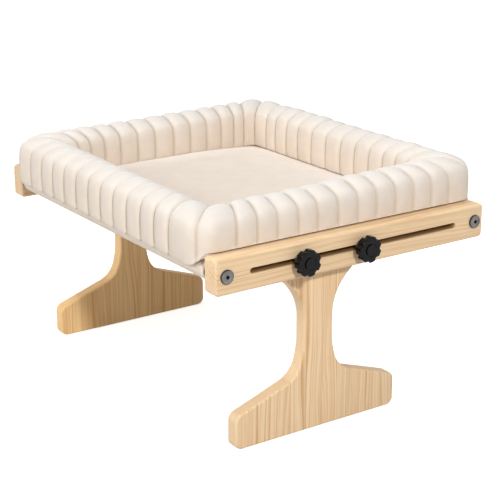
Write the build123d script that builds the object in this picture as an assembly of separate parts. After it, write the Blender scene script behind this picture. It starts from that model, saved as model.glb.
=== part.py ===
from build123d import *
import os
from math import acos, atan2, cos, hypot, pi, sin, sqrt

# Wooden pet hammock: two slotted rails on sliding board legs, two cross tubes,
# a fabric sling between the tubes and a ribbed cushion laid on the sling.
# +X runs along the rails, -Y is the front, and Z = 0 is the floor.
# All lengths are in millimetres.

# Frame
rail_length = 400.0
rail_height = 43.0
rail_thickness = 24.0
frame_width = 512.0
rail_top = 252.0
rail_corner_radius = 5.0
wood_edge_radius = 3.0
slot_height = 7.0
slot_below_rail_top = 20.5
slot_end_margin = 46.0
cut_overrun = 1.0

# Cross tubes, their plugs and the rail bolts
tube_radius = 11.0
tube_wall = 1.5
tube_end_inset = 14.6
tube_below_rail_top = 21.0
plug_length = 25.0
bolt_radius = 3.0
bolt_reach_past_rail = 16.0
bolt_head_radius = 8.5
bolt_head_thickness = 2.6
bolt_head_edge = 0.9
bolt_hole_clearance = 0.3
thread_clearance = 0.05
socket_across_flats = 4.0
socket_sides = 6
socket_depth = 1.8

# Legs
leg_thickness = 18.7
leg_rail_gap = 0.3
leg_offset = -37.0
leg_top_below_rail_top = 10.0
foot_half_length = 120.3
toe_height = 42.5
toe_low_radius = 10.0
toe_high_radius = 12.0
ankle_half_width = 31.0
ankle_height = 72.7
ankle_radius = 34.0
waist_half_width = 21.3
waist_low_height = 106.0
waist_low_radius = 105.0
waist_high_below_top = 70.0
waist_high_radius = 65.0
head_half_width = 57.5
head_low_below_top = 37.6
head_low_radius = 6.0
head_top_radius = 4.0

# Leg clamps: threaded inserts, studs, washers and star knobs
stud_radius = 3.0
stud_spacing = 88.7
stud_offset_on_leg = -2.0
stud_grip_in_leg = 14.0
insert_radius = 5.0
insert_length = 16.0
washer_radius = 9.0
washer_thickness = 1.6
washer_clearance = 0.1
clamp_face_gap = 0.3
hub_radius = 9.0
hub_length = 6.0
star_radius = 16.0
star_thickness = 10.0
star_edge = 1.2
scallop_count = 7
scallop_radius = 3.6
scallop_depth = 2.2
cap_radius = 7.0
cap_rise = 1.2
cap_groove_width = 1.2
cap_groove_depth = 0.6
stud_depth_in_star = 6.0

# Sling
canvas_thickness = 1.7
canvas_tube_gap = 0.3
sling_sag = 29.4
sling_side_gap = 1.5
sleeve_end_gap = 3.0

# Cushion
cushion_gap = 0.3
cushion_overhang = 11.0
cushion_rail_overlap = 6.0
cushion_crown_above_rail = 50.0
bolster_width = 61.0
bolster_outer_radius = 30.0
bolster_inner_radius = 8.0
bolster_lip_drop = 12.0
bolster_foot_tuck = 5.0
bolster_shoulder_tuck = 4.0
seam_depth = 5.0
long_side_ribs = 11
short_side_ribs = 11
pad_side_inset = 2.5
pad_end_gap = 4.0
pad_corner_radius = 20.0
pad_crown_rise = 8.5
pad_crown_inset = 1.5
pad_crown_corner_radius = 16.0

# Shares that the cushion's forms follow
long_side_seams_share = (-0.782, 0.789)
short_side_seams_share = (-0.794, 0.735)
belly_share = 0.45
shoulder_share = 0.76
haunch_share = 0.7071
rib_steps_share = (0.0, 0.15, 0.5, 0.85)
corner_rib_steps_share = (0.0, 0.08, 0.22, 0.38, 0.5, 0.62, 0.78, 0.92)
pad_crown_steps_share = ((0.0, 0.0), (0.05, 0.5), (0.16, 0.82), (0.36, 1.0))

# Places worked out from the sizes
rail_outer_y = frame_width / 2
rail_inner_y = rail_outer_y - rail_thickness
rail_z = rail_top - rail_height / 2
slot_z = rail_top - slot_below_rail_top
tube_x = rail_length / 2 - tube_end_inset
tube_z = rail_top - tube_below_rail_top
leg_outer_y = rail_inner_y - leg_rail_gap
leg_inner_y = leg_outer_y - leg_thickness
leg_top = rail_top - leg_top_below_rail_top
studs_middle = leg_offset + stud_offset_on_leg
stud_places = (studs_middle - stud_spacing / 2, studs_middle + stud_spacing / 2)
washer_y = rail_outer_y + clamp_face_gap
hub_y = washer_y + washer_thickness + clamp_face_gap
star_y = hub_y + hub_length

# The sling's cloth is an arc that runs over both sleeves and is tangent to them.
sleeve_inner_radius = tube_radius + canvas_tube_gap
sleeve_outer_radius = sleeve_inner_radius + canvas_thickness
sleeve_top = tube_z + sleeve_outer_radius
arc_centre_rise = (tube_x**2 - sling_sag**2) / (2 * sling_sag)
arc_centre_z = tube_z + arc_centre_rise
arc_centre_distance = hypot(tube_x, arc_centre_rise)
sling_top_radius = arc_centre_distance - sleeve_outer_radius
sling_low_radius = sling_top_radius + canvas_thickness
sling_half_width = leg_inner_y - sling_side_gap

# The cushion fits between the rails, swells over their tops and stands just past their ends.
cushion_half_x = rail_length / 2 + cushion_overhang
cushion_half_y = rail_inner_y + cushion_rail_overlap
cushion_top = rail_top + cushion_crown_above_rail
bolster_base = sleeve_top + cushion_gap
lip_bottom = bolster_base - bolster_lip_drop


def along_y(sketch, y_low, y_high):
    """Extrude a sketch drawn in X and Z between two places on Y."""
    return Pos(0, y_high, 0) * extrude(Plane.XZ * sketch, y_high - y_low)


def rod(radius, x, z, y_low, y_high):
    """A round bar along Y."""
    return along_y(Pos(x, z) * Circle(radius), y_low, y_high)


def round_faces_across_y(part, y_values, radius):
    """Round the outline edges of the faces that lie across Y."""
    edges = ShapeList()
    for y in y_values:
        edges += part.edges().filter_by_position(Axis.Y, y, y)
    return fillet(edges, radius)


def to_rear(part):
    """The same piece on the rear side."""
    return mirror(part, about=Plane.XZ)


def front_rail():
    outline = RectangleRounded(rail_length, rail_height, rail_corner_radius)
    rail = along_y(Pos(0, rail_z) * outline, -rail_outer_y, -rail_inner_y)
    rail = round_faces_across_y(rail, (-rail_outer_y, -rail_inner_y), wood_edge_radius)
    slot = SlotOverall(rail_length - 2 * slot_end_margin, slot_height)
    y_low = -rail_outer_y - cut_overrun
    y_high = -rail_inner_y + cut_overrun
    rail -= along_y(Pos(0, slot_z) * slot, y_low, y_high)
    for x in (-tube_x, tube_x):
        rail -= rod(bolt_radius + bolt_hole_clearance, x, tube_z, y_low, y_high)
    return rail


def leg_outline():
    """Foot, ankle, waist and head of the board, right half first and then mirrored."""
    corners = (
        (foot_half_length, 0, toe_low_radius),
        (foot_half_length, toe_height, toe_high_radius),
        (ankle_half_width, ankle_height, ankle_radius),
        (waist_half_width, waist_low_height, waist_low_radius),
        (waist_half_width, leg_top - waist_high_below_top, waist_high_radius),
        (head_half_width, leg_top - head_low_below_top, head_low_radius),
        (head_half_width, leg_top, head_top_radius),
    )
    right = [(x, z) for x, z, radius in corners]
    left = [(-x, z) for x, z, radius in reversed(corners)]
    radii = [radius for x, z, radius in corners]
    line = FilletPolyline(*right, *left, radius=radii + radii[::-1], close=True)
    return make_face(line)


def front_leg():
    board = along_y(leg_outline(), -leg_outer_y, -leg_inner_y)
    board = round_faces_across_y(board, (-leg_outer_y, -leg_inner_y), wood_edge_radius)
    board = Pos(leg_offset, 0, 0) * board
    for x in stud_places:
        y_low = -leg_outer_y - cut_overrun
        y_high = -leg_inner_y + cut_overrun
        board -= rod(insert_radius, x, slot_z, y_low, y_high)
    return board


def front_leg_inserts():
    inserts = []
    for x in stud_places:
        y_high = -leg_outer_y + insert_length
        bush = rod(insert_radius, x, slot_z, -leg_outer_y, y_high)
        bore = rod(stud_radius + thread_clearance, x, slot_z, -leg_outer_y, y_high)
        inserts.append(bush - bore)
    return inserts


def cross_tube(x):
    outer = rod(tube_radius, x, tube_z, -rail_inner_y, rail_inner_y)
    inner = rod(tube_radius - tube_wall, x, tube_z, -rail_inner_y, rail_inner_y)
    return outer - inner


def tube_end_plugs():
    plugs = []
    for x in (-tube_x, tube_x):
        y_high = -rail_inner_y + plug_length
        plug = rod(tube_radius - tube_wall, x, tube_z, -rail_inner_y, y_high)
        bore = rod(bolt_radius + thread_clearance, x, tube_z, -rail_inner_y, y_high)
        plugs.append(plug - bore)
        plugs.append(to_rear(plug - bore))
    return plugs


def rail_bolts():
    bolts = []
    head_y = -rail_outer_y - bolt_head_thickness
    for x in (-tube_x, tube_x):
        head = rod(bolt_head_radius, x, tube_z, head_y, -rail_outer_y)
        head = round_faces_across_y(head, (head_y,), bolt_head_edge)
        shank_end = -rail_inner_y + bolt_reach_past_rail
        shank = rod(bolt_radius, x, tube_z, -rail_outer_y, shank_end)
        hexagon = RegularPolygon(socket_across_flats / 2, socket_sides, major_radius=False)
        socket = along_y(Pos(x, tube_z) * hexagon, head_y, head_y + socket_depth)
        bolt = head + shank - socket
        bolts.append(bolt)
        bolts.append(to_rear(bolt))
    return bolts


def sling():
    """Cloth arc and both sleeves in one section, then the sleeves' free ends."""
    reach = (
        sleeve_outer_radius**2 + arc_centre_distance**2 - sling_low_radius**2
    ) / (2 * sleeve_outer_radius * arc_centre_distance)
    to_arc_centre = atan2(arc_centre_rise, -tube_x)
    meet = to_arc_centre + acos(reach)

    def on_sleeve(angle):
        return (tube_x + sleeve_outer_radius * cos(angle), tube_z + sleeve_outer_radius * sin(angle))

    top_end = on_sleeve(to_arc_centre)
    low_end = on_sleeve(meet)
    outside = on_sleeve((to_arc_centre + meet) / 2 - pi)

    def other_side(point):
        return (-point[0], point[1])

    edges = [
        ThreePointArc(other_side(top_end), (0, arc_centre_z - sling_top_radius), top_end),
        ThreePointArc(top_end, outside, low_end),
        ThreePointArc(low_end, (0, arc_centre_z - sling_low_radius), other_side(low_end)),
        ThreePointArc(other_side(low_end), other_side(outside), other_side(top_end)),
    ]
    section = make_face(Wire(edges))
    for x in (-tube_x, tube_x):
        section -= Pos(x, tube_z) * Circle(sleeve_inner_radius)
    cloth = along_y(section, -sling_half_width, sling_half_width)
    sleeve_end = rail_inner_y - sleeve_end_gap
    for x in (-tube_x, tube_x):
        ring = Pos(x, tube_z) * (Circle(sleeve_outer_radius) - Circle(sleeve_inner_radius))
        cloth += along_y(ring, -sleeve_end, -sling_half_width)
        cloth += along_y(ring, sling_half_width, sleeve_end)
    return cloth


def washer(x):
    disc = rod(washer_radius, x, slot_z, -washer_y - washer_thickness, -washer_y)
    bore = rod(stud_radius + washer_clearance, x, slot_z, -washer_y - washer_thickness, -washer_y)
    return disc - bore


def knob_grip(x):
    """Hub, scalloped star and raised cap, bored for the moulded-in stud."""
    star = Circle(star_radius)
    scallop_place = star_radius - scallop_depth + scallop_radius
    for scallop in PolarLocations(scallop_place, scallop_count):
        star -= scallop * Circle(scallop_radius)
    star_end = -star_y - star_thickness
    grip = along_y(Pos(x, slot_z) * star, star_end, -star_y)
    grip = round_faces_across_y(grip, (star_end, -star_y), star_edge)
    grip += rod(hub_radius, x, slot_z, -star_y, -hub_y)
    grip += rod(cap_radius, x, slot_z, star_end - cap_rise, star_end)
    groove = Circle(cap_radius + cap_groove_width) - Circle(cap_radius)
    grip -= along_y(Pos(x, slot_z) * groove, star_end, star_end + cap_groove_depth)
    return grip - rod(stud_radius, x, slot_z, -star_y - stud_depth_in_star, -hub_y)


def knob_stud(x):
    y_low = -star_y - stud_depth_in_star
    return rod(stud_radius, x, slot_z, y_low, -leg_outer_y + stud_grip_in_leg)


def bolster_place(side_angle, outward, run, along):
    """Outer and inner foot of a rib section at a length along one side of the ring.

    The outer foot follows a rounded rectangle by its true length. The inner foot follows
    a smaller one, so the sections fan out towards the corners.
    """
    outer_straight = run - bolster_outer_radius
    inner_straight = run - bolster_width - bolster_inner_radius
    sign = 1 if along >= 0 else -1
    length = abs(along)
    if length <= outer_straight:
        squeeze = (outer_straight - inner_straight) * (length / outer_straight) ** 3
        outer = (outward, length)
        inner = (outward - bolster_width, length - squeeze)
    else:
        turn = (length - outer_straight) / bolster_outer_radius
        outer = (
            outward - bolster_outer_radius * (1 - cos(turn)),
            outer_straight + bolster_outer_radius * sin(turn),
        )
        inner = (
            outward - bolster_width - bolster_inner_radius * (1 - cos(turn)),
            inner_straight + bolster_inner_radius * sin(turn),
        )

    def turned(point):
        spoke = Vector(point[0], sign * point[1], 0)
        return spoke.rotate(Axis.Z, side_angle)

    return turned(outer), turned(inner)


def rib_section(outer, inner, pinch):
    """One upright section of the bolster: foot, belly, shoulders and crown.

    The pinch draws its walls and its crown in, fully at a seam and not at all between seams.
    """
    width = (outer - inner).length
    direction = (outer - inner).normalized()
    rise = cushion_top - pinch - lip_bottom
    shoulder_z = lip_bottom + shoulder_share * rise
    crown_z = lip_bottom + rise
    half_crown = width / 2 - bolster_shoulder_tuck - pinch
    haunch_z = shoulder_z + haunch_share * (crown_z - shoulder_z)

    def at(across, z):
        spot = inner + direction * across
        return (spot.X, spot.Y, z)

    foot_in = at(bolster_foot_tuck + pinch, lip_bottom)
    belly_in = at(pinch, lip_bottom + belly_share * rise)
    shoulder_in = at(width / 2 - half_crown, shoulder_z)
    haunch_in = at(width / 2 - haunch_share * half_crown, haunch_z)
    crown = at(width / 2, crown_z)
    haunch_out = at(width / 2 + haunch_share * half_crown, haunch_z)
    shoulder_out = at(width / 2 + half_crown, shoulder_z)
    belly_out = at(width - pinch, lip_bottom + belly_share * rise)
    foot_out = at(width - bolster_foot_tuck - pinch, lip_bottom)
    return Wire(
        [
            ThreePointArc(foot_in, belly_in, shoulder_in),
            ThreePointArc(shoulder_in, haunch_in, crown),
            ThreePointArc(crown, haunch_out, shoulder_out),
            ThreePointArc(shoulder_out, belly_out, foot_out),
            Line(foot_out, foot_in),
        ]
    )


def bolster_side(side_angle, outward, run, ribs, seams_share):
    """One side of the ring, from the diagonal seam at one corner to the next."""
    half_length = run - bolster_outer_radius + bolster_outer_radius * pi / 4
    first_seam, last_seam = (half_length * share for share in seams_share)
    seams = [-half_length]
    seams += [first_seam + (last_seam - first_seam) * rib / ribs for rib in range(ribs + 1)]
    seams += [half_length]
    sections = []
    for number, (start, end) in enumerate(zip(seams, seams[1:])):
        at_corner = number == 0 or number == ribs + 1
        steps = corner_rib_steps_share if at_corner else rib_steps_share
        for step in steps:
            swell = sqrt(1 - (2 * step - 1) ** 2)
            outer, inner = bolster_place(side_angle, outward, run, start + (end - start) * step)
            sections.append(rib_section(outer, inner, seam_depth * (1 - swell)))
    outer, inner = bolster_place(side_angle, outward, run, half_length)
    sections.append(rib_section(outer, inner, seam_depth))
    return Solid.make_loft(sections, ruled=True)


def cushion_bolster():
    """Four ribbed sides joined at the diagonal seams.

    The base is level, and only a lip outside each sleeve hangs below it. The outer wall is
    cut back beside the rails, so its swell rests just over their tops.
    """
    long_side = (cushion_half_y, cushion_half_x, long_side_ribs, long_side_seams_share)
    short_side = (cushion_half_x, cushion_half_y, short_side_ribs, short_side_seams_share)
    sides = [
        bolster_side(0, *short_side),
        bolster_side(90, *long_side),
        bolster_side(180, *short_side),
        bolster_side(270, *long_side),
    ]
    ring = sides[0].fuse(*sides[1:])
    lip_x = tube_x + sleeve_outer_radius + cushion_gap
    level_cut = Box(
        2 * lip_x,
        2 * cushion_half_y + 2 * cut_overrun,
        bolster_base - lip_bottom + cut_overrun,
        align=(Align.CENTER, Align.CENTER, Align.MAX),
    )
    ring -= Pos(0, 0, bolster_base) * level_cut
    rail_cut = Box(
        2 * cushion_half_x + 2 * cut_overrun,
        cushion_rail_overlap + cushion_gap + cut_overrun,
        rail_top + cushion_gap - lip_bottom + cut_overrun,
        align=(Align.CENTER, Align.MIN, Align.MAX),
    )
    beside_rail = Pos(0, rail_inner_y - cushion_gap, rail_top + cushion_gap) * rail_cut
    return ring - beside_rail - to_rear(beside_rail)


def cushion_pad():
    """Lens of filling that lies in the sling, with a low crown inside the bolster."""
    half_x = tube_x - sleeve_outer_radius - pad_end_gap
    half_y = sling_half_width - pad_side_inset
    top_z = bolster_base - cushion_gap
    low_radius = sling_top_radius - cushion_gap
    edge_z = arc_centre_z - sqrt(low_radius**2 - half_x**2)
    low_arc = ThreePointArc((-half_x, edge_z), (0, arc_centre_z - low_radius), (half_x, edge_z))
    rim = Polyline((half_x, edge_z), (half_x, top_z), (-half_x, top_z), (-half_x, edge_z))
    lens = along_y(make_face(low_arc + rim), -half_y, half_y)
    lens = fillet(lens.edges().filter_by(Axis.Z), pad_corner_radius)
    crown_x = cushion_half_x - bolster_width - pad_crown_inset
    crown_y = cushion_half_y - bolster_width - pad_crown_inset
    levels = []
    for inset_share, rise_share in pad_crown_steps_share:
        inset = inset_share * crown_x
        level = RectangleRounded(
            2 * (crown_x - inset), 2 * (crown_y - inset), pad_crown_corner_radius
        )
        levels.append(Pos(0, 0, top_z + rise_share * pad_crown_rise) * level)
    return lens + loft(levels, ruled=True)


def write(name, shape):
    """Write one node; several solids of one node stay separate."""
    node = Compound(children=shape) if isinstance(shape, list) else shape
    export_step(node, f"parts/{name}.step")


os.makedirs("parts", exist_ok=True)

rail = front_rail()
leg = front_leg()
inserts = front_leg_inserts()
write("front_rail", rail)
write("rear_rail", to_rear(rail))
write("front_leg", leg)
write("rear_leg", to_rear(leg))
write("front_leg_inserts", inserts)
write("rear_leg_inserts", [to_rear(insert) for insert in inserts])
write("left_cross_tube", cross_tube(-tube_x))
write("right_cross_tube", cross_tube(tube_x))
write("tube_end_plugs", tube_end_plugs())
write("rail_bolts", rail_bolts())
write("sling", sling())
write("cushion_bolster", cushion_bolster())
write("cushion_pad", cushion_pad())

for end, x in zip(("left", "right"), stud_places):
    for piece, make in (("washer", washer), ("knob_grip", knob_grip), ("knob_stud", knob_stud)):
        shape = make(x)
        write(f"front_{end}_{piece}", shape)
        write(f"rear_{end}_{piece}", to_rear(shape))
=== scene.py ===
import bmesh
import bpy
from math import acos, cos, hypot, pi, sin
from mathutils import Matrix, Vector, noise


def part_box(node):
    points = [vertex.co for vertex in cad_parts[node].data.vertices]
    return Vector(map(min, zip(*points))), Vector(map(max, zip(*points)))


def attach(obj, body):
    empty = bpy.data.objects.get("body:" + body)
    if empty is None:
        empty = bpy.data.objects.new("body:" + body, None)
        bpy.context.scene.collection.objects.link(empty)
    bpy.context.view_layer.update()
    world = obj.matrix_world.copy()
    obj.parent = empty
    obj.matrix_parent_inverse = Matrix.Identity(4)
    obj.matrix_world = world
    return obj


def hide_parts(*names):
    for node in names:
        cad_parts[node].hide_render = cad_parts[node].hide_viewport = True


# Wooden pet hammock: pine rails and legs, star knobs, a cloth sling and a ribbed plush cushion.
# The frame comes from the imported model, in metres, with +X along the rails and the front at -Y.

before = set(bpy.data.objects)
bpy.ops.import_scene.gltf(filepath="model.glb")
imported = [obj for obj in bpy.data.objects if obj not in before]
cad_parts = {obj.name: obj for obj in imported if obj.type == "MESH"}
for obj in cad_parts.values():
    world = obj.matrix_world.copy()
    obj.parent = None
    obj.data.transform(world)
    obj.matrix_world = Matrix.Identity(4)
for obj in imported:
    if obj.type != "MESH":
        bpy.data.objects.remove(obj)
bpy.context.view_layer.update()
scene = bpy.context.scene
MM = 0.001

# Places read from the frame
rail_low, rail_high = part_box("front_rail")
tube_low, tube_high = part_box("left_cross_tube")
leg_low, leg_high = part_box("front_leg")
ring_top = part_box("cushion_bolster")[1].z
rail_inner_y = -rail_high.y
rail_thickness = rail_high.y - rail_low.y
rail_middle_y = rail_inner_y + rail_thickness / 2
rail_top = rail_high.z
rail_end_x = rail_high.x
tube_x = -(tube_low.x + tube_high.x) / 2
tube_z = (tube_low.z + tube_high.z) / 2
tube_radius = (tube_high.z - tube_low.z) / 2
leg_inner_y = -leg_high.y
leg_thickness = leg_high.y - leg_low.y
leg_middle_y = leg_inner_y + leg_thickness / 2
washer_low, washer_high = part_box("front_left_washer")
slot_z = (washer_low.z + washer_high.z) / 2
# Slot's height and run, which bound the shade painted inside it
slot_half_height = 3.5 * MM
slot_end_margin = 45 * MM
slot_edge_allowance = 0.2 * MM

# Sling
cloth_thickness = 1.2 * MM
cloth_gap = 0.6 * MM
cloth_sag = 29.4 * MM
panel_half_width = leg_inner_y - 2.0 * MM
notch_start_x = tube_x - 18.5 * MM
notch_end_x = tube_x - 11.5 * MM
sleeve_outer_radius = 13 * MM
sleeve_end_gap = 0.8 * MM
sleeve_end_dip = 3.0 * MM
sleeve_opening = 0.55
flap_length = 16 * MM
flap_gap = 0.4 * MM
cloth_ripple = 0.5 * MM
ripple_fade_length = 20 * MM
ripples_along, ripples_across = 9, 26
panel_cells, loop_cells, flap_cells, cross_cells = 60, 26, 6, 66

# Stitches and weave, with the run within which the cloth is sure to be on its panel
seam_margin = 2 * MM
stitch_row_gap = 5 * MM
hem_width = 5 * MM
stitch_half_width, stitch_edge = 0.35 * MM, 0.7 * MM
stitch_length = 3.2 * MM
weave_pitch = 1.1 * MM
sure_panel_run = 0.17
canvas_patch_scale, slub_scale = 35, 420

# Cushion's ring
cushion_half_x = 210.6 * MM
cushion_half_y = 237.4 * MM
cushion_top = ring_top + 0.5 * MM
near_left_rise, near_right_rise = -5.9 * MM, 4.6 * MM
rear_left_rise, rear_right_rise = -2.1 * MM, 4.6 * MM
bolster_base = tube_z + sleeve_outer_radius + 0.6 * MM
bolster_width = 60.0 * MM
bolster_outer_radius = 30.0 * MM
bolster_inner_radius = 8.0 * MM
rail_rest_gap, rail_side_gap = 0.6 * MM, 0.7 * MM

# Lip, which hangs beside the sleeves and rises onto the rails
lip_bottom = tube_z + 2.0 * MM
lip_start_x = tube_x + sleeve_outer_radius + 0.8 * MM
lip_end_y = 208.0 * MM
lip_rise_length = 23.5 * MM
lip_bend, rail_bend = 8.0 * MM, 4.5 * MM
foot_tuck, foot_tuck_loss_at_rail = 3.0 * MM, 0.7
foot_seam_rise = 5.0 * MM
lip_underside = ((0.3, 0.75 * MM), (0.62, 0.12 * MM), (1.0, 0.1 * MM))
base_lean = 0.3 * MM
least_base_width = 1.5 * MM
least_slant = 0.3

# Ribs, with shares of a section's half width, of its arch, of its walls and of its pinch and bend
long_side_ribs = 11
short_side_ribs = 11
long_side_seams_share = (-0.782, 0.789)
short_side_seams_share = (-0.794, 0.735)
corner_seam_turn = 0.576
rib_steps = (0.0, 0.04, 0.1, 0.2, 0.34, 0.5, 0.66, 0.8, 0.9, 0.96)
corner_rib_steps = (0.0, 0.02, 0.06, 0.12, 0.2, 0.3, 0.4, 0.5, 0.6, 0.7, 0.8, 0.88, 0.94, 0.98)
wide_rib = 40.0 * MM
rib_fullness = 2.6
arch_height = 27.0 * MM
brow_reach_share, brow_drop_share = 0.73, 0.27
shoulder_reach_share, shoulder_drop_share = 0.965, 0.72
inner_belly_share, outer_belly_share = 0.4, 0.55
base_pinch_share, turn_pinch_share = 0.4, 0.9
turn_bend_share, foot_bend_share = 0.1, 0.3
wall_seam_depth, crown_seam_depth = 5.2 * MM, 8.5 * MM
rib_crown_wander, rib_seam_wander = 1.6 * MM, 0.8 * MM
points_per_span = 5
base_points = 5

# Swelling of the covers, and how far they are kept from the rails
swell_frames = 20
swell_pressure, swell_limit = 5.0, 5.0 * MM
pad_swell_pressure, pad_swell_limit = 4.0, 5.5 * MM
give_spans = 3
cover_rail_gap, cover_end_gap, lift_depth = 0.5 * MM, 1 * MM, 2.5 * MM
pad_inset, pad_base_gap, pad_pin_depth = 1.5 * MM, 0.3 * MM, 1.0 * MM
pad_voxel = 5.0 * MM
doubles_gap = 0.02 * MM

# Plush, plastic and metal
# Painted sheen that pales the cushion's crowns
crown_spans, crown_sheen_share = 2.6, 0.6
# Width of the painted shade along the seams, and how much of it the crowns lose
seam_shade_width, seam_shade_loss_at_crown = 2.0 * MM, 0.5
tuft_scale, lean_scale, patch_scale = 1300, 60, 14
plastic_mark_scale, metal_mark_scale, fine_to_coarse = 90, 160, 9

# Wood, first as repeats a metre along, across and through a board
bend_repeats = (2.6, 11, 11)
streak_repeats = (2.5, 340, 340)
line_repeats = (1.4, 190, 190)
uneven_repeats = (1.5, 80, 80)
fade_repeats = (5, 60, 60)
fibre_repeats = (45, 1500, 1500)
cloud_repeats = (4, 22, 22)
strip_start = 0.35
strip_shift_along, strip_shift_across = 3.0, 50 * MM
least_depth_in_log, most_depth_in_log = 22 * MM, 60 * MM
trunk_bend = 20 * MM
edge_fade_start, edge_fade_end, edge_grain_share = 0.3 * MM, 3.0 * MM, 0.2
# Depths into a rail's slot over which its painted shade deepens
slot_shade_start, slot_shade_end = 1.2 * MM, 4.5 * MM

# Painted shade on the rail bolts, in the socket and round the head's rim, from their middle outwards
socket_radius, socket_edge = 2.2 * MM, 2.5 * MM
rim_start, rim_end, rim_painted_shade = 7.4 * MM, 8.1 * MM, 0.75

# Floor, as it bounces light on the hammock, and as it is seen
floor_bounce = (0.58, 0.58, 0.58, 1.0)
floor_seen = (0.9, 0.9, 0.9, 1.0)
floor_glow = (0.66, 0.66, 0.66, 1.0)
floor_half_width = 12
lamp_aim_z = 0.15

# Photograph's camera
camera_place = Vector((-0.9775, -1.4521, 0.7327))
camera_target = Vector((0.02211, 0.0, 0.15458))
camera_lens = 99.11
camera_sensor = 36.0


def shade(red, green, blue):
    """A colour named by its screen values, as the linear colour that a shader takes."""

    def linear(value):
        value = value / 255
        return value / 12.92 if value <= 0.04045 else ((value + 0.055) / 1.055) ** 2.4

    return (linear(red), linear(green), linear(blue), 1.0)


# Node helpers


def add(tree, kind, values=None, **settings):
    """Add a node, set its options, and link or fill its inputs."""
    made = tree.nodes.new(kind)
    for name, setting in settings.items():
        setattr(made, name, setting)
    for name, value in (values or {}).items():
        if isinstance(value, bpy.types.NodeSocket):
            tree.links.new(value, made.inputs[name])
        else:
            made.inputs[name].default_value = value
    return made


def maths(tree, operation, first, second=0.0):
    return add(tree, "ShaderNodeMath", {0: first, 1: second}, operation=operation).outputs[0]


def plus(tree, first, *others):
    for other in others:
        first = maths(tree, "ADD", first, other)
    return first


def minus(tree, first, second):
    return maths(tree, "SUBTRACT", first, second)


def times(tree, first, second):
    return maths(tree, "MULTIPLY", first, second)


def away_from(tree, value, middle):
    """Distance from a middle, on either side of it."""
    return maths(tree, "ABSOLUTE", minus(tree, value, middle))


def length_of(tree, first, second):
    """Length of a line from its parts in two directions at right angles."""
    return maths(tree, "SQRT", plus(tree, maths(tree, "POWER", first, 2), maths(tree, "POWER", second, 2)))


def remap(tree, value, low, high, to_low, to_high):
    values = {"Value": value, "From Min": low, "From Max": high, "To Min": to_low, "To Max": to_high}
    return add(tree, "ShaderNodeMapRange", values).outputs["Result"]


def blend_colours(tree, share, first, second, blend_type="MIX"):
    values = {0: share, 6: first, 7: second}
    return add(tree, "ShaderNodeMix", values, data_type="RGBA", blend_type=blend_type).outputs[2]


def ramp(tree, value, stops):
    node = add(tree, "ShaderNodeValToRGB", {"Fac": value})
    elements = node.color_ramp.elements
    while len(elements) < len(stops):
        elements.new(0.5)
    for element, (position, level) in zip(elements, stops):
        element.position = position
        element.color = (level, level, level, 1)
    return node.outputs["Color"]


def noise_at(tree, vector, scale, detail, roughness):
    values = {"Vector": vector, "Scale": scale, "Detail": detail, "Roughness": roughness}
    return add(tree, "ShaderNodeTexNoise", values).outputs["Fac"]


def stretched_noise(tree, places, repeats, detail, roughness=0.5):
    """Noise that repeats at its own rate along each of three directions."""
    parts = [times(tree, place, repeat) for place, repeat in zip(places, repeats)]
    vector = add(tree, "ShaderNodeCombineXYZ", dict(zip("XYZ", parts))).outputs[0]
    return noise_at(tree, vector, 1.0, detail, roughness)


def new_group(name, inputs, outputs):
    group = bpy.data.node_groups.new(name, "ShaderNodeTree")
    for socket, kind in inputs:
        group.interface.new_socket(name=socket, in_out="INPUT", socket_type="NodeSocket" + kind)
    for socket, kind in outputs:
        group.interface.new_socket(name=socket, in_out="OUTPUT", socket_type="NodeSocket" + kind)
    enter = group.nodes.new("NodeGroupInput")
    leave = group.nodes.new("NodeGroupOutput")
    return group, enter.outputs, leave.inputs


def glued_strip(group, given):
    """How far across its strip a place is, and chances that hold for the whole strip."""
    place = plus(group, maths(group, "DIVIDE", given["Across"], given["Strip Width"]), strip_start)
    strip_and_seed = {"X": maths(group, "FLOOR", place), "Y": given["Seed"]}
    vector = add(group, "ShaderNodeCombineXYZ", strip_and_seed).outputs[0]
    chance = add(group, "ShaderNodeTexWhiteNoise", {"Vector": vector}, noise_dimensions="2D").outputs
    parts = add(group, "ShaderNodeSeparateColor", {"Color": chance["Color"]}).outputs
    return maths(group, "FRACT", place), parts, chance["Value"]


def place_in_log(group, given, chances):
    """Place along, across and through the log that a strip was cut from, which is bent a little."""
    shift_along = remap(group, chances[2], 0, 1, 0, strip_shift_along)
    shift_across = remap(group, chances[0], 0, 1, -strip_shift_across, strip_shift_across)
    shift_through = remap(group, chances[1], 0, 1, least_depth_in_log, most_depth_in_log)
    along = plus(group, given["Along"], shift_along)
    across = plus(group, given["Across"], shift_across, given["Off Centre"])
    through = plus(group, given["Depth"], shift_through)
    bend = stretched_noise(group, (along, across, through), bend_repeats, detail=2.0)
    across = plus(group, across, remap(group, bend, 0, 1, -trunk_bend, trunk_bend))
    return along, across, through


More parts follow.
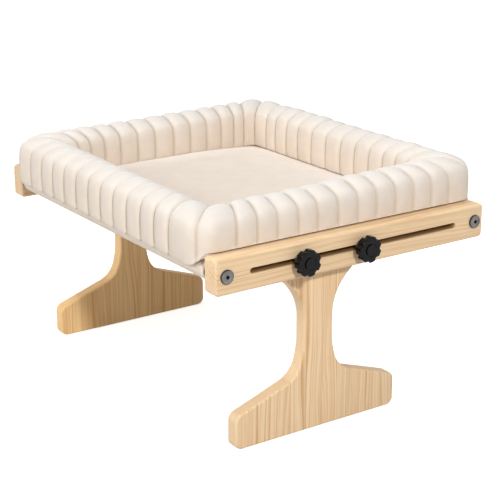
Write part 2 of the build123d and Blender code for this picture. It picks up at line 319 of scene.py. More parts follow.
def pine_grain_group():
    """Growth rings round an axis that runs with the grain, shifted in each glued strip."""
    group, given, result = new_group(
        "pine_grain",
        (("Along", "Float"), ("Across", "Float"), ("Depth", "Float"), ("Strip Width", "Float"),
         ("Ring Spacing", "Float"), ("Off Centre", "Float"), ("Rings", "Float"), ("Streaks", "Float"),
         ("Seed", "Float"), ("Light", "Color"), ("Dark", "Color")),
        (("Color", "Color"), ("Roughness", "Float"), ("Height", "Float")),
    )
    across_strip, chances, strip_chance = glued_strip(group, given)
    places = place_in_log(group, given, chances)
    streak = stretched_noise(group, places, streak_repeats, detail=3.0, roughness=0.6)
    line = stretched_noise(group, places, line_repeats, detail=2.0)
    uneven = stretched_noise(group, places, uneven_repeats, detail=1.0)
    fade = stretched_noise(group, places, fade_repeats, detail=1.0)
    fibre = stretched_noise(group, places, fibre_repeats, detail=3.0, roughness=0.6)
    cloud = stretched_noise(group, places, cloud_repeats, detail=2.0)

    rings = maths(group, "DIVIDE", length_of(group, places[1], places[2]), given["Ring Spacing"])
    rings = plus(group, rings, remap(group, uneven, 0.25, 0.75, -0.7, 0.7))
    late_wood = ramp(group, maths(group, "FRACT", rings), ((0, 0.05), (0.5, 0.12), (0.84, 1), (1, 0.05)))
    faded_rings = times(group, late_wood, remap(group, fade, 0.3, 0.7, 0.35, 1.0))
    fine_lines = remap(group, line, 0.6, 0.66, 0, 0.8)
    glue_line = remap(group, away_from(group, across_strip, 0.5), 0.47, 0.5, 0, 0.6)
    streaks = plus(group, remap(group, streak, 0.3, 0.7, -0.45, 0.55), fine_lines, glue_line)
    dark = plus(
        group, times(group, faded_rings, given["Rings"]), remap(group, fibre, 0.3, 0.75, 0, 0.2),
        times(group, streaks, given["Streaks"]), remap(group, cloud, 0.35, 0.7, -0.06, 0.16))
    colour = blend_colours(group, dark, given["Light"], given["Dark"])
    tone = remap(group, strip_chance, 0, 1, 0.945, 1.03)
    toned = add(group, "ShaderNodeCombineColor", {"Red": tone, "Green": tone, "Blue": tone}).outputs[0]
    colour = blend_colours(group, 1.0, colour, toned, "MULTIPLY")
    group.links.new(colour, result["Color"])
    group.links.new(remap(group, fibre, 0.3, 0.7, 0.46, 0.6), result["Roughness"])
    height = minus(group, times(group, fibre, 0.6), times(group, late_wood, 0.4))
    group.links.new(height, result["Height"])
    return group


def soft_pile_group():
    """Short brushed pile: small tufts that lean in patches."""
    group, given, result = new_group(
        "soft_pile",
        (("Coordinates", "Vector"), ("Light", "Color"), ("Shaded", "Color")),
        (("Color", "Color"), ("Height", "Float")),
    )
    tufts = noise_at(group, given["Coordinates"], tuft_scale, detail=3.0, roughness=0.65)
    lean = noise_at(group, given["Coordinates"], lean_scale, detail=3.0, roughness=0.55)
    patches = noise_at(group, given["Coordinates"], patch_scale, detail=2.0, roughness=0.5)
    patterns = ((tufts, 0.22), (lean, 0.3), (patches, 0.3))
    share = plus(group, *[remap(group, pattern, 0.35, 0.65, 0, most) for pattern, most in patterns])
    group.links.new(blend_colours(group, share, given["Light"], given["Shaded"]), result["Color"])
    group.links.new(plus(group, times(group, tufts, 0.7), times(group, lean, 0.5)), result["Height"])
    return group


def fine_marks_group():
    """Faint handling marks and unevenness on moulded or plated parts."""
    group, given, result = new_group(
        "fine_marks",
        (("Coordinates", "Vector"), ("Scale", "Float"), ("Low", "Float"), ("High", "Float")),
        (("Roughness", "Float"), ("Height", "Float"), ("Mask", "Float")),
    )
    coarse = noise_at(group, given["Coordinates"], given["Scale"], detail=4.0, roughness=0.6)
    fine_scale = times(group, given["Scale"], fine_to_coarse)
    fine = noise_at(group, given["Coordinates"], fine_scale, detail=2.0, roughness=0.6)
    mask = remap(group, coarse, 0.35, 0.68, 0, 1)
    group.links.new(remap(group, mask, 0, 1, given["Low"], given["High"]), result["Roughness"])
    group.links.new(plus(group, coarse, times(group, fine, 0.4)), result["Height"])
    group.links.new(mask, result["Mask"])
    return group


PINE_GRAIN = pine_grain_group()
SOFT_PILE = soft_pile_group()
FINE_MARKS = fine_marks_group()


def emptied_tree(owner):
    """The node tree of a material or the world, with nothing in it yet."""
    owner.use_nodes = True
    owner.node_tree.nodes.clear()
    return owner.node_tree


def new_material(name):
    material = bpy.data.materials.new(name)
    tree = emptied_tree(material)
    surface = add(tree, "ShaderNodeBsdfPrincipled")
    add(tree, "ShaderNodeOutputMaterial", {"Surface": surface.outputs[0]})
    coordinates = add(tree, "ShaderNodeTexCoord").outputs
    return material, tree, surface.inputs, coordinates


def add_group(tree, group, values):
    return add(tree, "ShaderNodeGroup", values, node_tree=group).outputs


def bump(tree, height, distance, strength):
    values = {"Height": height, "Distance": distance, "Strength": strength}
    return add(tree, "ShaderNodeBump", values).outputs["Normal"]


def depth_in_board(tree, through, middle, thickness):
    """Distance in from the nearer wide face of a board. The front and rear boards mirror each other."""
    off_middle = away_from(tree, maths(tree, "ABSOLUTE", through), middle)
    return minus(tree, thickness / 2, off_middle)


def slot_painted_shade(tree, places):
    """Share of painted shade in a rail's slot: none outside it and at its mouth, and one in its middle."""
    depth = depth_in_board(tree, places[1], rail_middle_y, rail_thickness)
    off_slot = away_from(tree, places[2], slot_z)
    at_height = maths(tree, "LESS_THAN", off_slot, slot_half_height + slot_edge_allowance)
    off_centre = maths(tree, "ABSOLUTE", places[0])
    in_run = maths(tree, "LESS_THAN", off_centre, rail_end_x - slot_end_margin)
    shaded = remap(tree, depth, slot_shade_start, slot_shade_end, 0, 1)
    return times(tree, shaded, times(tree, at_height, in_run))


def pine(
        name, axes, strip_width, seed, light, dark, ring_spacing, off_centre, rings, streaks, slotted=False):
    """Lacquered pine. The axes name the directions along, across and through the board.

    The legs' grain fades on their edges, and a slotted rail has shade painted inside its slot.
    """
    material, tree, surface, coordinates = new_material(name)
    places = add(tree, "ShaderNodeSeparateXYZ", {0: coordinates["Object"]}).outputs
    along, across, depth = (places[axis] for axis in axes)
    if not slotted:
        in_board = depth_in_board(tree, depth, leg_middle_y, leg_thickness)
        grain_share = remap(tree, in_board, edge_fade_start, edge_fade_end, 1, edge_grain_share)
        rings = times(tree, grain_share, rings)
        streaks = times(tree, grain_share, streaks)
    grain = add_group(tree, PINE_GRAIN, {
        "Along": along, "Across": across, "Depth": depth, "Strip Width": strip_width,
        "Ring Spacing": ring_spacing, "Off Centre": off_centre, "Rings": rings, "Streaks": streaks,
        "Seed": seed, "Light": light, "Dark": dark,
    })
    colour = grain["Color"]
    # Shade painted inside the slot, where the recess is in shadow
    if slotted:
        colour = blend_colours(tree, slot_painted_shade(tree, places), colour, SLOT_PAINTED_SHADE)
    tree.links.new(colour, surface["Base Color"])
    tree.links.new(grain["Roughness"], surface["Roughness"])
    tree.links.new(bump(tree, grain["Height"], distance=0.12 * MM, strength=0.6), surface["Normal"])
    surface["Coat Weight"].default_value = 0.08
    surface["Coat Roughness"].default_value = 0.35
    surface["Specular IOR Level"].default_value = 0.35
    return material


def plush(name, light, shaded, crease_painted_shade, crown_painted_sheen):
    """Short cream pile, with painted sheen that pales the crowns and painted shade that makes the seams
    warmer and darker.
    """
    material, tree, surface, coordinates = new_material(name)
    values = {"Coordinates": coordinates["Object"], "Light": light, "Shaded": shaded}
    pile = add_group(tree, SOFT_PILE, values)
    # Painted sheen pales the cover on its crowns
    crown = add(tree, "ShaderNodeAttribute", attribute_name="crown").outputs["Fac"]
    colour = blend_colours(tree, times(tree, crown, crown_sheen_share), pile["Color"], crown_painted_sheen)
    # Painted shade darkens the cover along its seams
    seam = add(tree, "ShaderNodeAttribute", attribute_name="seam").outputs["Fac"]
    colour = blend_colours(tree, seam, colour, crease_painted_shade)
    tree.links.new(colour, surface["Base Color"])
    tree.links.new(bump(tree, pile["Height"], distance=0.5 * MM, strength=0.5), surface["Normal"])
    surface["Roughness"].default_value = 0.92
    surface["Sheen Weight"].default_value = 0.5
    surface["Sheen Roughness"].default_value = 0.45
    surface["Specular IOR Level"].default_value = 0.2
    return material


def wave(tree, value, pitch):
    return maths(tree, "SINE", times(tree, value, 2 * pi / pitch))


def stitch_row(tree, value, place):
    """One at a row of stitches and nothing beside it."""
    return remap(tree, away_from(tree, value, place), stitch_half_width, stitch_edge, 1, 0)


def stitch_dashes(tree, value):
    return remap(tree, wave(tree, value, stitch_length), -0.3, 0, 0, 1)


def canvas(name, light, shaded, thread_colour, seam_rows):
    """Plain weave, with rows of stitches along the sleeve seams and round the hems."""
    material, tree, surface, coordinates = new_material(name)
    places = add(tree, "ShaderNodeSeparateXYZ", {0: coordinates["UV"]}).outputs
    weave = times(tree, wave(tree, places[0], weave_pitch), wave(tree, places[1], weave_pitch))
    patches = noise_at(tree, coordinates["Object"], canvas_patch_scale, detail=3.0, roughness=0.55)
    slub = noise_at(tree, coordinates["Object"], slub_scale, detail=2.0, roughness=0.6)
    share = plus(
        tree, remap(tree, patches, 0.35, 0.65, 0.0, 0.4), remap(tree, slub, 0.35, 0.65, 0, 0.25),
        remap(tree, weave, -1, 1, 0, 0.2))
    colour = blend_colours(tree, share, light, shaded)
    run = maths(tree, "ABSOLUTE", places[0])
    rows = plus(tree, *[stitch_row(tree, run, row) for row in seam_rows])
    edge = add(tree, "ShaderNodeAttribute", attribute_name="hem").outputs["Fac"]
    hem = stitch_row(tree, edge, hem_width)
    row_thread = times(tree, rows, stitch_dashes(tree, places[1]))
    hem_thread = times(tree, hem, stitch_dashes(tree, places[0]))
    thread = plus(tree, row_thread, hem_thread)
    colour = blend_colours(tree, thread, colour, thread_colour)
    tree.links.new(colour, surface["Base Color"])
    raised = plus(tree, times(tree, weave, 0.35), times(tree, thread, 0.8))
    height = minus(tree, raised, times(tree, plus(tree, rows, hem), 0.9))
    tree.links.new(bump(tree, height, distance=0.25 * MM, strength=0.6), surface["Normal"])
    surface["Roughness"].default_value = 0.9
    surface["Sheen Weight"].default_value = 0.12
    surface["Specular IOR Level"].default_value = 0.25
    return material


def add_marks(tree, coordinates, scale, low, high):
    """Fine marks, with the roughness running from low to high."""
    values = {"Coordinates": coordinates["Object"], "Scale": scale, "Low": low, "High": high}
    return add_group(tree, FINE_MARKS, values)


def moulded(name, base, mark, low, high, specular=0.5):
    """Moulded plastic with a faint grain and handling marks."""
    material, tree, surface, coordinates = new_material(name)
    marks = add_marks(tree, coordinates, plastic_mark_scale, low, high)
    tree.links.new(blend_colours(tree, marks["Mask"], base, mark), surface["Base Color"])
    tree.links.new(marks["Roughness"], surface["Roughness"])
    tree.links.new(bump(tree, marks["Height"], distance=0.05 * MM, strength=0.5), surface["Normal"])
    surface["Specular IOR Level"].default_value = specular
    return material


def bolt_painted_shade(tree, coordinates):
    """Where shade is painted on a rail bolt: inside its socket and on the turned edge of its head."""
    places = add(tree, "ShaderNodeSeparateXYZ", {0: coordinates["Object"]}).outputs
    across = minus(tree, maths(tree, "ABSOLUTE", places[0]), tube_x)
    radius = length_of(tree, across, minus(tree, places[2], tube_z))
    socket = remap(tree, radius, socket_radius, socket_edge, 1, 0)
    rim = remap(tree, radius, rim_start, rim_end, 0, rim_painted_shade)
    return maths(tree, "MAXIMUM", socket, rim)


def plated(name, base, mark, low, high, metallic=1.0, headed=False):
    """Plated or painted steel with slight clouding, with painted shade in a bolt's socket and round its rim.
    """
    material, tree, surface, coordinates = new_material(name)
    marks = add_marks(tree, coordinates, metal_mark_scale, low, high)
    colour = blend_colours(tree, marks["Mask"], base, mark)
    # Painted shade in the socket and round the rim of a bolt's head
    if headed:
        colour = blend_colours(tree, bolt_painted_shade(tree, coordinates), colour, SOCKET_PAINTED_SHADE)
    tree.links.new(colour, surface["Base Color"])
    tree.links.new(marks["Roughness"], surface["Roughness"])
    tree.links.new(bump(tree, marks["Height"], distance=0.02 * MM, strength=0.4), surface["Normal"])
    surface["Metallic"].default_value = metallic
    return material


PINE_LIGHT = shade(243, 214, 174)
PINE_DARK = shade(205, 156, 104)
AMBER_LIGHT = shade(254, 214, 156)
AMBER_DARK = shade(219, 163, 98)
# Painted shade for the inside of the rails' slots
SLOT_PAINTED_SHADE = shade(158, 122, 76)
# Painted shade for the bolts' sockets and rims
SOCKET_PAINTED_SHADE = shade(40, 37, 34)
rail_pine = pine(
    "rail_pine", axes=(0, 2, 1), strip_width=1.0, seed=3.0, light=PINE_LIGHT, dark=PINE_DARK,
    ring_spacing=3.8 * MM, off_centre=0.0, rings=0.46, streaks=0.2, slotted=True)
front_leg_pine = pine(
    "front_leg_pine", axes=(2, 0, 1), strip_width=23.5 * MM, seed=8.0, light=PINE_LIGHT, dark=PINE_DARK,
    ring_spacing=2.3 * MM, off_centre=0.11, rings=0.4, streaks=0.64)
rear_leg_pine = pine(
    "rear_leg_pine", axes=(2, 0, 1), strip_width=23.5 * MM, seed=5.0, light=AMBER_LIGHT, dark=AMBER_DARK,
    ring_spacing=2.3 * MM, off_centre=0.11, rings=0.4, streaks=0.66)
# The crease colour is painted shade along the seams and the bleached colour is painted sheen on the crowns
cover_plush = plush(
    "cover_plush", light=shade(233, 220, 206), shaded=shade(219, 204, 188), crease_painted_shade=shade(206, 190, 168),
    crown_painted_sheen=shade(228, 227, 225))
knob_plastic = moulded(
    "knob_plastic", base=shade(5, 5, 6), mark=shade(13, 13, 14), low=0.1, high=0.2, specular=0.13)
plug_plastic = moulded("plug_plastic", base=shade(70, 70, 72), mark=shade(84, 84, 86), low=0.5, high=0.65)
zinc = plated("zinc", base=shade(168, 170, 174), mark=shade(130, 132, 137), low=0.28, high=0.46)
bolt_steel = plated(
    "bolt_steel", base=shade(122, 120, 118), mark=shade(92, 90, 89), low=0.3, high=0.5, headed=True)
tube_paint = plated(
    "tube_paint", base=shade(52, 46, 40), mark=shade(66, 60, 52), low=0.4, high=0.6, metallic=0.0)


def dress(node, material):
    for material_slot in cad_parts[node].material_slots:
        material_slot.material = material


for side in ("front", "rear"):
    dress(f"{side}_rail", rail_pine)
    dress(f"{side}_leg_inserts", zinc)
    for end in ("left", "right"):
        dress(f"{side}_{end}_washer", zinc)
        dress(f"{side}_{end}_knob_stud", zinc)
        dress(f"{side}_{end}_knob_grip", knob_plastic)
dress("front_leg", front_leg_pine)
dress("rear_leg", rear_leg_pine)
for end in ("left", "right"):
    dress(f"{end}_cross_tube", tube_paint)
dress("tube_end_plugs", plug_plastic)
dress("rail_bolts", bolt_steel)


# Soft pieces


def new_object(name, data):
    made = bpy.data.objects.new(name, data)
    scene.collection.objects.link(made)
    return made


def new_grid(name, cells_along, cells_round, material):
    """A flat grid of cells, one unit wide, to be laid out as cloth."""
    mesh = bpy.data.meshes.new(name)
    shape = bmesh.new()
    shape.loops.layers.uv.new("UVMap")
    bmesh.ops.create_grid(shape, x_segments=cells_along, y_segments=cells_round, size=0.5, calc_uvs=True)
    shape.to_mesh(mesh)
    shape.free()
    mesh.materials.append(material)
    return new_object(name, mesh)


def grid_place(vertex, cells_along, cells_round):
    """Column and row of a vertex that still lies in its unit grid."""
    return round((vertex.co.x + 0.5) * cells_along), round((vertex.co.y + 0.5) * cells_round)


def smooth_all(piece):
    for face in piece.data.polygons:
        face.use_smooth = True


def store(piece, name, values):
    attribute = piece.data.attributes.new(name, "FLOAT", "POINT")
    attribute.data.foreach_set("value", values)


def side_of_ring(quarter):
    """Distance out, half run, rib count and seam span of one side."""
    if quarter % 2 == 0:
        return cushion_half_x, cushion_half_y, short_side_ribs, short_side_seams_share
    return cushion_half_y, cushion_half_x, long_side_ribs, long_side_seams_share


def stray(first, second, third):
    """A chance from minus one to one, the same at each run. The numbers only pick its place in a noise."""
    return noise.noise(Vector((first, second, third)))


def half_side_length(quarter):
    """Length along the outer edge from the middle of a side to the corner's diagonal."""
    run = side_of_ring(quarter)[1]
    return run - bolster_outer_radius + bolster_outer_radius * pi / 4


def ring_place(quarter, spot):
    """Turn a place on one side to its place on the ring."""
    x, y = spot.x, spot.y
    return Vector(((x, y), (-y, x), (-x, -y), (y, -x))[quarter])


def bolster_place(quarter, along):
    """Outer and inner foot of a section, at a length along one side."""
    outward, run = side_of_ring(quarter)[:2]
    outer_straight = run - bolster_outer_radius
    inner_straight = run - bolster_width - bolster_inner_radius
    sign = 1 if along >= 0 else -1
    length = abs(along)
    if length <= outer_straight:
        squeeze = (outer_straight - inner_straight) * (length / outer_straight) ** 3
        outer = (outward, length)
        inner = (outward - bolster_width, length - squeeze)
    else:
        turn = (length - outer_straight) / bolster_outer_radius
        drop = 1 - cos(turn)
        outer = (outward - bolster_outer_radius * drop, outer_straight + bolster_outer_radius * sin(turn))
        inner = (
            outward - bolster_width - bolster_inner_radius * drop,
            inner_straight + bolster_inner_radius * sin(turn),
        )
    outer = ring_place(quarter, Vector((outer[0], sign * outer[1])))
    inner = ring_place(quarter, Vector((inner[0], sign * inner[1])))
    return outer, inner


def ring_seams():
    """Lengths round the outer edge at which seams run, and the whole length."""
    seams = []
    start = 0.0
    for quarter in range(4):
        half_length = half_side_length(quarter)
        middle = start + half_length
        run, ribs, (first, last) = side_of_ring(quarter)[1:]
        on_short_side = quarter % 2 == 0
        if on_short_side:
            seams.append(start)
        for rib in range(ribs + 1):
            wander = rib_seam_wander * stray(rib * 3.7, quarter * 9.1, 0.5) * 2
            seams.append(middle + half_length * (first + (last - first) * rib / ribs) + wander)
        if on_short_side:
            seams.append(middle + run - bolster_outer_radius * (1 - corner_seam_turn))
        start += 2 * half_length
    return seams, start


def bolster_columns():
    """Sections all round the ring: feet, swell between seams, rib number and distance to a seam."""
    seams, whole = ring_seams()
    starts = [0.0]
    for quarter in range(4):
        starts.append(starts[-1] + 2 * half_side_length(quarter))
    columns = []
    for rib, (start, end) in enumerate(zip(seams, seams[1:] + [whole])):
        steps = corner_rib_steps if end - start > wide_rib else rib_steps
        for step in steps:
            length = start + (end - start) * step
            quarter = max(number for number in range(4) if length >= starts[number] - 1e-9)
            outer, inner = bolster_place(quarter, length - starts[quarter] - half_side_length(quarter))
            columns.append({
                "outer": outer, "inner": inner, "rib": rib,
                "swell": (1 - abs(2 * step - 1) ** rib_fullness) ** 0.5,
                "seam": min(step, 1 - step) * (end - start),
            })
    return columns


def smooth_through(keys, per_span):
    """Points on a smooth curve that passes through the keys."""
    ends = [keys[0] * 2 - keys[1]] + keys + [keys[-1] * 2 - keys[-2]]
    points = []
    for before, start, end, after in zip(ends, ends[1:], ends[2:], ends[3:]):
        slope = end - before
        curve = 2 * before - 5 * start + 4 * end - after
        turn = 3 * start - before - 3 * end + after
        for step in range(per_span):
            way = step / per_span
            points.append(0.5 * (2 * start + slope * way + curve * way**2 + turn * way**3))
    return points + [keys[-1]]


def crown_rise(place):
    """How far the crown stands above its mean height, from its rise at the four corners."""
    to_right = 0.5 + 0.5 * place.x / (cushion_half_x - bolster_width / 2)
    to_rear = 0.5 + 0.5 * place.y / (cushion_half_y - bolster_width / 2)
    near = near_left_rise + (near_right_rise - near_left_rise) * to_right
    rear = rear_left_rise + (rear_right_rise - rear_left_rise) * to_right
    return near + (rear - near) * to_rear


def share_on_rail(place):
    """None where a foot hangs beside the sleeves, rising to one where it rests on a rail."""
    return min(max((abs(place.y) - lip_end_y) / lip_rise_length, 0.0), 1.0) ** 3


def underside(column, direction, foot, foot_z, on_rail, first):
    """The way back from a section's foot: in under the lip, up to the base, and along it."""
    inner = column["inner"]
    beside_sleeve = (lip_start_x - abs(inner.x)) / max(abs(direction.x), least_slant)
    beside_rail = (rail_inner_y - rail_side_gap - abs(inner.y)) / max(abs(direction.y), least_slant)
    beside_sleeve = min(beside_sleeve, foot - least_base_width)
    beside_rail = min(beside_rail, foot - least_base_width)
    inside = beside_sleeve + (beside_rail - beside_sleeve) * on_rail
    points = [Vector((foot + (inside - foot) * share, foot_z + rise)) for share, rise in lip_underside]
    base = Vector((inside - base_lean, bolster_base))
    return points + [base.lerp(first, step / base_points) for step in range(base_points)]


def rib_profile(column):
    """One upright section: inner wall, crown, outer wall down to its foot, and its underside."""
    slack = 1 - column["swell"]
    wall_pinch = wall_seam_depth * slack
    crown_pinch = crown_seam_depth * slack
    across = column["outer"] - column["inner"]
    width = across.length
    direction = across / width
    middle = (column["outer"] + column["inner"]) / 2
    wander = rib_crown_wander * stray(column["rib"] * 2.3, 4.2, 1.7)
    crown = cushion_top + crown_rise(middle) + wander * column["swell"] - crown_pinch
    arch = arch_height - 0.5 * crown_pinch
    half = width / 2 - wall_pinch
    on_rail = share_on_rail(column["outer"])
    foot = width - foot_tuck * (1 - foot_tuck_loss_at_rail * on_rail)
    foot_z = lip_bottom + (rail_top + rail_rest_gap - lip_bottom) * on_rail
    foot_z += foot_seam_rise * slack * (1 - on_rail) ** 2
    bend = lip_bend + (rail_bend - lip_bend) * on_rail
    shoulder_reach, shoulder = shoulder_reach_share * half, crown - shoulder_drop_share * arch
    brow_reach, brow = brow_reach_share * half, crown - brow_drop_share * arch
    keys = [
        Vector((foot_tuck + base_pinch_share * wall_pinch, bolster_base)),
        Vector((wall_pinch, bolster_base + inner_belly_share * (crown - arch - bolster_base))),
        Vector((width / 2 - shoulder_reach, shoulder)),
        Vector((width / 2 - brow_reach, brow)),
        Vector((width / 2, crown)),
        Vector((width / 2 + brow_reach, brow)),
        Vector((width / 2 + shoulder_reach, shoulder)),
        Vector((width - wall_pinch, foot_z + outer_belly_share * (crown - arch - foot_z))),
        Vector((width - turn_pinch_share * wall_pinch - turn_bend_share * bend, foot_z + bend)),
        Vector((foot, foot_z + foot_bend_share * bend)),
    ]
    points = smooth_through(keys, points_per_span)
    return points + underside(column, direction, foot, foot_z, on_rail, points[0]), direction


def lay_out_bolster(piece, columns, rows):
    """Place the grid's vertices on the ring, pin its seams and base, and record the painted shade along its
    seams and the painted sheen on its crowns.
    """
    profiles = [rib_profile(column) for column in columns]
    crown_row = 4 * points_per_span
    free_rows = range(1, 2 * crown_row)
    mesh = piece.data
    pinned = []
    seams = [0.0] * len(mesh.vertices)
    gives = [0.0] * len(mesh.vertices)
    crown_sheen_shares = [0.0] * len(mesh.vertices)
    for vertex in mesh.vertices:
        number, row = grid_place(vertex, len(columns), rows)
        number, row = number % len(columns), row % rows
        column = columns[number]
        points, direction = profiles[number]
        x, y = column["inner"] + direction * points[row].x
        vertex.co = (x, y, points[row].y)
        if column["seam"] == 0 or row not in free_rows:
            pinned.append(vertex.index)
        rows_to_pin = min(row, free_rows.stop - row)
        gives[vertex.index] = min(max(rows_to_pin / (give_spans * points_per_span), 0.0), 1.0)
        # Share of painted sheen on the crown
        crown = max(0.0, 1 - abs(row - crown_row) / (crown_spans * points_per_span))
        crown_sheen_shares[vertex.index] = crown
        # Share of painted shade along the seams, fainter on the crowns
        seam = max(0.0, 1 - column["seam"] / seam_shade_width)
        seams[vertex.index] = seam * (1 - seam_shade_loss_at_crown * crown)
    store(piece, "seam", seams)
    store(piece, "give", gives)
    store(piece, "crown", crown_sheen_shares)
    piece.vertex_groups.new(name="pinned").add(pinned, 1.0, "REPLACE")


def close_seams(piece):
    shape = bmesh.new()
    shape.from_mesh(piece.data)
    bmesh.ops.remove_doubles(shape, verts=shape.verts, dist=doubles_gap)
    bmesh.ops.recalc_face_normals(shape, faces=shape.faces)
    shape.to_mesh(piece.data)
    shape.free()


def swell(piece, pressure, limit, keep_clear=None):
    """Blow the cover up as cloth, cap how far each point moves, keep it clear, and apply it."""
    start = [vertex.co.copy() for vertex in piece.data.vertices]
    gives = [point.value for point in piece.data.attributes["give"].data]
    cloth = piece.modifiers.new("Cloth", "CLOTH")
    cloth.settings.quality = 5
    cloth.settings.mass = 0.2
    cloth.settings.tension_stiffness = 12
    cloth.settings.compression_stiffness = 12
    cloth.settings.shear_stiffness = 4
    cloth.settings.bending_stiffness = 0.4
    cloth.settings.use_pressure = True
    cloth.settings.uniform_pressure_force = pressure
    cloth.settings.vertex_group_mass = "pinned"
    cloth.settings.effector_weights.gravity = 0
    cloth.collision_settings.use_collision = False
    for number in range(1, swell_frames + 1):
        scene.frame_set(number)
    result = piece.evaluated_get(bpy.context.evaluated_depsgraph_get())
    moved = [vertex.co.copy() for vertex in result.data.vertices]
    piece.modifiers.remove(cloth)
    scene.frame_set(1)
    for vertex, old, new, give in zip(piece.data.vertices, start, moved, gives):
        step = new - old
        if step.length > limit:
            step = step * (limit / step.length)
        place = old + step * give
        vertex.co = keep_clear(place) if keep_clear else place


def apply_modifier(piece, modifier):
    """Put what the modifier makes into the piece's mesh."""
    result = piece.evaluated_get(bpy.context.evaluated_depsgraph_get())
    mesh = bpy.data.meshes.new_from_object(result)
    piece.modifiers.remove(modifier)
    piece.data = mesh


def finer(piece):
    """One applied subdivision."""
    divide = piece.modifiers.new("Subdivision", "SUBSURF")
    divide.levels = 1
    divide.render_levels = 1
    apply_modifier(piece, divide)
    smooth_all(piece)


def keep_bolster_clear(spot):
    """Hold the cover off the rails beside it and the cloth below it."""
    room = rail_inner_y - cover_rail_gap
    over_rail = abs(spot.x) < rail_end_x + cover_end_gap and abs(spot.y) > room
    if over_rail and spot.z < rail_top + rail_rest_gap:
        if spot.z > rail_top - lift_depth:
            spot.z = rail_top + rail_rest_gap
        else:
            spot.y = max(-room, min(room, spot.y))
    if abs(spot.x) < lip_start_x:
        spot.z = max(spot.z, bolster_base)
    return spot


def bolster_cover():
    columns = bolster_columns()
    rows = len(rib_profile(columns[0])[0])
    piece = new_grid("bolster_cover", len(columns), rows, cover_plush)
    lay_out_bolster(piece, columns, rows)
    close_seams(piece)
    swell(piece, swell_pressure, swell_limit, keep_bolster_clear)
    finer(piece)
    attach(piece, "frame")
    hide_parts("cushion_bolster")


def drawn_in_pad():
    """A copy of the pad's solid, a little smaller so that it has room to swell."""
    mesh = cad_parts["cushion_pad"].data.copy()
    mesh.name = "pad_cover"
    mesh.materials.clear()
    mesh.materials.append(cover_plush)
    shape = bmesh.new()
    shape.from_mesh(mesh)
    bmesh.ops.remove_doubles(shape, verts=shape.verts, dist=doubles_gap)
    low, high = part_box("cushion_pad")
    half = (high - low) / 2
    for vertex in shape.verts:
        for axis in (0, 1):
            vertex.co[axis] *= 1 - pad_inset / half[axis]
        vertex.co.z = max(vertex.co.z, low.z + pad_base_gap)
    shape.to_mesh(mesh)
    shape.free()
    return mesh


def pad_cover():
    """The pad from its solid, drawn in a little, remeshed and swollen over the sling."""
    piece = new_object("pad_cover", drawn_in_pad())
    remesh = piece.modifiers.new("Remesh", "REMESH")
    remesh.mode = "VOXEL"
    remesh.voxel_size = pad_voxel
    apply_modifier(piece, remesh)
    pin_z = bolster_base - pad_pin_depth
    held = [vertex.index for vertex in piece.data.vertices if vertex.co.z < pin_z]
    piece.vertex_groups.new(name="pinned").add(held, 1.0, "REPLACE")
    # The pad gets no painted seam shade and no painted crown sheen
    for name, value in (("give", 1.0), ("seam", 0.0), ("crown", 0.0)):
        store(piece, name, [value] * len(piece.data.vertices))
    swell(piece, pad_swell_pressure, pad_swell_limit)
    finer(piece)
    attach(piece, "frame")
    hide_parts("cushion_pad")


def sling_path():
    """The cloth's middle line: left flap and sleeve, the sagging panel, right sleeve and flap."""
    rise = (tube_x**2 - cloth_sag**2) / (2 * cloth_sag)
    centre_z = tube_z + rise
    distance = hypot(tube_x, rise)
    loop_radius = tube_radius + cloth_gap + cloth_thickness / 2
    panel_radius = distance - loop_radius
    half_angle = acos(rise / distance)
    flap_start = (loop_radius * sin(sleeve_opening) + seam_margin) / panel_radius
    flap_radius = panel_radius + cloth_thickness + flap_gap

    def on_arc(angle, radius):
        return Vector((radius * sin(angle), centre_z - radius * cos(angle)))

    steps = [2 * cell / panel_cells - 1 for cell in range(panel_cells + 1)]
    panel = [on_arc(half_angle * step, panel_radius) for step in steps]
    right = []
    for cell in range(1, loop_cells + 1):
        angle = pi / 2 + half_angle - (2 * pi - sleeve_opening) * cell / loop_cells
        right.append(Vector((tube_x + loop_radius * cos(angle), tube_z + loop_radius * sin(angle))))
    for cell in range(flap_cells + 1):
        angle = half_angle - flap_start - flap_length / panel_radius * cell / flap_cells
        right.append(on_arc(angle, flap_radius))
    left = [Vector((-point.x, point.y)) for point in reversed(right)]
    path = left + panel + right
    runs = [0.0]
    for start, end in zip(path, path[1:]):
        runs.append(runs[-1] + (end - start).length)
    return path, [run - runs[-1] / 2 for run in runs], loop_radius


def cloth_half_width(point, loop_radius):
    """Half the cloth's width: up to the rails on the tubes, and clear of the sliding legs between them."""
    share = min(max((abs(point.x) - notch_start_x) / (notch_end_x - notch_start_x), 0), 1)
    share = share * share * (3 - 2 * share)
    outward = max(0.0, (abs(point.x) - tube_x) / loop_radius)
    sleeve = rail_inner_y - sleeve_end_gap - sleeve_end_dip * outward**2
    return panel_half_width + (sleeve - panel_half_width) * share


def run_at(path, runs, x):
    """Length along the cloth at which the panel passes a place."""
    inside = [(abs(point.x - x), abs(run)) for point, run in zip(path, runs) if abs(run) < sure_panel_run]
    return min(inside)[1]


def lay_out_sling(piece, path, runs, loop_radius):
    """Place the grid's vertices on the path, with their flat places as UV and their distance to the hem."""
    mesh = piece.data
    places = {}
    hems = [0.0] * len(mesh.vertices)
    for vertex in mesh.vertices:
        column, row = grid_place(vertex, len(path) - 1, cross_cells)
        point = path[column]
        half = cloth_half_width(point, loop_radius)
        y = half * (2 * row / cross_cells - 1)
        fade = min(max((notch_start_x - abs(point.x)) / ripple_fade_length, 0), 1)
        ripple = stray(point.x * ripples_along, y * ripples_across, 3.1) * cloth_ripple * fade
        vertex.co = (point.x, y, point.y - abs(ripple))
        places[vertex.index] = (runs[column], y)
        hems[vertex.index] = half - abs(y)
    layer = mesh.uv_layers["UVMap"].data
    for loop in mesh.loops:
        layer[loop.index].uv = places[loop.vertex_index]
    store(piece, "hem", hems)


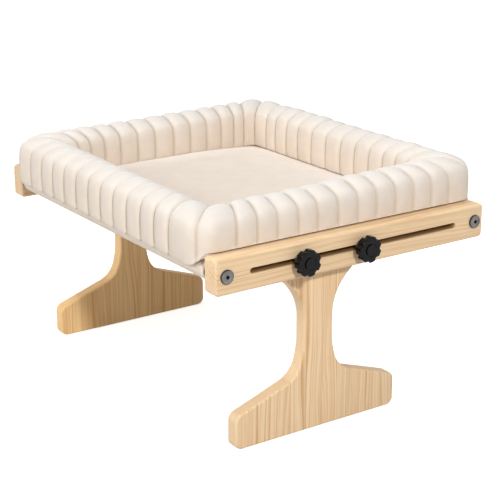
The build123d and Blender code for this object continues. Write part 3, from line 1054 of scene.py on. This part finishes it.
def sling_cloth():
    path, runs, loop_radius = sling_path()
    flap_end = runs[-1]
    sewn = (abs(path[-1].x), abs(path[-1].x) + stitch_row_gap)
    rows = [flap_end - seam_margin, flap_end - seam_margin - stitch_row_gap]
    rows += [run_at(path, runs, x + seam_margin) for x in sewn]
    material = canvas(
        "sling_canvas", light=shade(238, 225, 208), shaded=shade(222, 206, 188),
        thread_colour=shade(248, 240, 228), seam_rows=rows)
    piece = new_grid("sling_cloth", len(path) - 1, cross_cells, material)
    lay_out_sling(piece, path, runs, loop_radius)
    smooth_all(piece)
    wall = piece.modifiers.new("Solidify", "SOLIDIFY")
    wall.thickness = cloth_thickness
    wall.offset = 0
    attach(piece, "frame")
    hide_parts("sling")


bolster_cover()
pad_cover()
sling_cloth()


# Stage, light and camera


def seen_rays(tree):
    """One for the rays that show a surface, straight on or in metal and gloss."""
    path = add(tree, "ShaderNodeLightPath").outputs
    seen = maths(tree, "MAXIMUM", path["Is Camera Ray"], path["Is Glossy Ray"])
    return maths(tree, "MAXIMUM", seen, path["Is Transmission Ray"])


def floor_material():
    material = bpy.data.materials.new("floor")
    tree = emptied_tree(material)
    seen = seen_rays(tree)
    lit = blend_colours(tree, seen, floor_bounce, floor_seen)
    glow = blend_colours(tree, seen, (0.0, 0.0, 0.0, 1), floor_glow)
    diffuse = add(tree, "ShaderNodeBsdfDiffuse", {"Color": lit})
    light = add(tree, "ShaderNodeEmission", {"Color": glow, "Strength": 1.0})
    both = add(tree, "ShaderNodeAddShader", {0: diffuse.outputs[0], 1: light.outputs[0]})
    add(tree, "ShaderNodeOutputMaterial", {"Surface": both.outputs[0]})
    return material


def lay_floor():
    mesh = bpy.data.meshes.new("floor")
    shape = bmesh.new()
    bmesh.ops.create_grid(shape, x_segments=1, y_segments=1, size=floor_half_width)
    shape.to_mesh(mesh)
    shape.free()
    mesh.materials.append(floor_material())
    floor = new_object("floor", mesh)


def set_world(level):
    world = bpy.data.worlds.new("studio")
    tree = emptied_tree(world)
    seen = seen_rays(tree)
    around = add(tree, "ShaderNodeBackground", {"Color": (1, 1, 1, 1), "Strength": level})
    behind = add(tree, "ShaderNodeBackground", {"Color": (1, 1, 1, 1), "Strength": 1.0})
    mixed = add(tree, "ShaderNodeMixShader", {0: seen, 1: around.outputs[0], 2: behind.outputs[0]})
    add(tree, "ShaderNodeOutputWorld", {"Surface": mixed.outputs[0]})
    scene.world = world


def soft_lamp(name, direction, distance, size, level):
    """An area lamp that lights a facing white surface to the level given."""
    data = bpy.data.lights.new(name, "AREA")
    data.shape = "DISK"
    data.size = size
    data.energy = level * pi**2 * distance**2
    lamp = new_object(name, data)
    direction = Vector(direction).normalized()
    lamp.location = direction * distance + Vector((0, 0, lamp_aim_z))
    lamp.rotation_euler = direction.to_track_quat("Z", "Y").to_euler()


def set_camera():
    data = bpy.data.cameras.new("photo_camera")
    data.lens = camera_lens
    data.sensor_width = camera_sensor
    data.clip_start = 0.05
    data.clip_end = 60
    camera = new_object("photo_camera", data)
    camera.location = camera_place
    camera.rotation_euler = (camera_target - camera_place).to_track_quat("-Z", "Y").to_euler()
    scene.camera = camera


lay_floor()
set_world(level=0.34)
soft_lamp("front_key", direction=(-0.275, -0.81, 0.52), distance=2.6, size=0.2, level=0.485)
soft_lamp("left_fill", direction=(-0.93, 0.08, 0.36), distance=2.4, size=1.2, level=0.385)
soft_lamp("top_fill", direction=(0.1, 0.15, 1.0), distance=2.4, size=1.4, level=0.35)
set_camera()
scene.view_settings.view_transform = "Standard"
